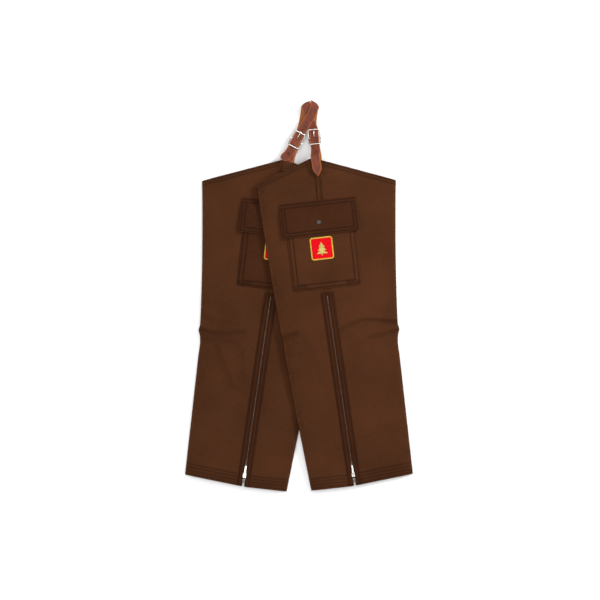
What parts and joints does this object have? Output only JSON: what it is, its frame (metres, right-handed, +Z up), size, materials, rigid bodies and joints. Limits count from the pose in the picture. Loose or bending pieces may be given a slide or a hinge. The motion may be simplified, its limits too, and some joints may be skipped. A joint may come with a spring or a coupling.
{
  "type": "chainsaw chaps",
  "caption": "Full-wrap brown canvas chainsaw chaps laid flat, legs crossed at the waist, with leather collar straps, roller-free buckles, flapped pockets and zips.",
  "frame": {"origin": "on the ground under the middle of the whole laid-out object", "axes": "+Y towards the waist straps, -Y towards the hems, +X towards the leg that lies on top, +Z up from the ground"},
  "size_m": [0.6492, 1.1146, 0.0631],
  "materials": {
    "canvas": "waxed duck canvas",
    "dark_canvas": "waxed duck canvas, darker",
    "padding": "cut-resistant fibre layers",
    "lining": "plain nylon lining",
    "zip_tape": "woven tape",
    "leather": "oiled harness leather",
    "nickel": "nickel plated",
    "gunmetal": "dark plated",
    "embroidery": "embroidered twill"
  },
  "bodies": {
    "left_leg": {"left_front_panel": "canvas", "left_rear_panel": "canvas", "left_cut_pad": "padding", "left_liner": "lining", "left_top_facing": "lining", "left_hem_facing": "lining", "left_zip_tape_front": "zip_tape", "left_zip_tape_rear": "zip_tape", "left_zip_chain": "nickel", "left_zip_top_stop": "nickel", "left_zip_bottom_stop": "nickel", "left_lip_front": "canvas", "left_lip_rear": "canvas", "left_pocket_front": "dark_canvas", "left_pocket_gusset": "dark_canvas", "left_patch": "embroidery", "left_snap_cap": "gunmetal", "left_snap_socket": "gunmetal", "left_snap_stud": "gunmetal", "left_strap_tunnel": "canvas", "left_buckle_chape": "leather", "left_strap": "leather"},
    "left_slider": {"left_zip_slider": "nickel"},
    "left_pull": {"left_zip_pull": "nickel"},
    "left_flap": {"left_pocket_flap": "dark_canvas"},
    "left_buckle": {"left_buckle_frame": "nickel"},
    "left_tongue": {"left_buckle_tongue": "nickel"},
    "right_leg": {"right_front_panel": "canvas", "right_rear_panel": "canvas", "right_cut_pad": "padding", "right_liner": "lining", "right_top_facing": "lining", "right_hem_facing": "lining", "right_zip_tape_front": "zip_tape", "right_zip_tape_rear": "zip_tape", "right_zip_chain": "nickel", "right_zip_top_stop": "nickel", "right_zip_bottom_stop": "nickel", "right_lip_front": "canvas", "right_lip_rear": "canvas", "right_pocket_front": "canvas", "right_pocket_gusset": "dark_canvas", "right_patch": "embroidery", "right_snap_stud": "gunmetal", "right_strap_tunnel": "canvas", "right_buckle_chape": "leather", "right_strap": "leather"},
    "right_slider": {"right_zip_slider": "nickel"},
    "right_pull": {"right_zip_pull": "nickel"},
    "right_flap": {"right_pocket_flap": "dark_canvas", "right_snap_cap": "gunmetal", "right_snap_socket": "gunmetal"},
    "right_buckle": {"right_buckle_frame": "nickel"},
    "right_tongue": {"right_buckle_tongue": "nickel"}
  },
  "joints": [
    {"name": "legs_swing", "type": "hinge", "parent": "left_leg", "child": "right_leg", "pos_m": [0.02575, 0.5212, 0.014], "axis": [0, 0, 1], "range_deg": [0, 10], "deforming": ["left_strap", "right_strap"]},
    {"name": "left_zip", "type": "slide", "parent": "left_leg", "child": "left_slider", "axis": [0.1446, 0.9895, 0], "range_m": [0, 0.49]},
    {"name": "right_zip", "type": "slide", "parent": "right_leg", "child": "right_slider", "axis": [-0.1443, 0.9878, 0.0577], "range_m": [0, 0.49]},
    {"name": "left_pull_tilt", "type": "hinge", "parent": "left_slider", "child": "left_pull", "pos_m": [-0.1547, -0.5107, 0.0189], "axis": [0.9938, -0.1115, 0], "range_deg": [0, 150]},
    {"name": "right_pull_tilt", "type": "hinge", "parent": "right_slider", "child": "right_pull", "pos_m": [0.1547, -0.5082, 0.02081], "axis": [0.9938, 0.1115, 0], "range_deg": [0, 150]},
    {"name": "left_flap_lift", "type": "hinge", "parent": "left_leg", "child": "left_flap", "pos_m": [-0.05909, 0.26799, 0.0202], "axis": [-0.9938, 0.1115, 0], "range_deg": [0, 12], "deforming": ["left_pocket_flap"]},
    {"name": "right_flap_lift", "type": "hinge", "parent": "right_leg", "child": "right_flap", "pos_m": [0.05909, 0.27049, 0.0522], "axis": [-0.9938, -0.1115, 0], "range_deg": [0, 150]},
    {"name": "left_buckle_tilt", "type": "hinge", "parent": "left_leg", "child": "left_buckle", "pos_m": [-0.00675, 0.4438, 0.0198], "axis": [0.8771, -0.4802, 0], "range_deg": [0, 3]},
    {"name": "right_buckle_tilt", "type": "hinge", "parent": "right_leg", "child": "right_buckle", "pos_m": [0.04385, 0.4489, 0.0263], "axis": [0.9951, 0.0993, 0], "range_deg": [0, 3]},
    {"name": "left_tongue_lift", "type": "hinge", "parent": "left_buckle", "child": "left_tongue", "pos_m": [-0.00675, 0.4438, 0.0198], "axis": [0.8771, -0.4802, 0], "range_deg": [0, 10]},
    {"name": "right_tongue_lift", "type": "hinge", "parent": "right_buckle", "child": "right_tongue", "pos_m": [0.04385, 0.4489, 0.0263], "axis": [0.9951, 0.0993, 0], "range_deg": [0, 10]}
  ]
}
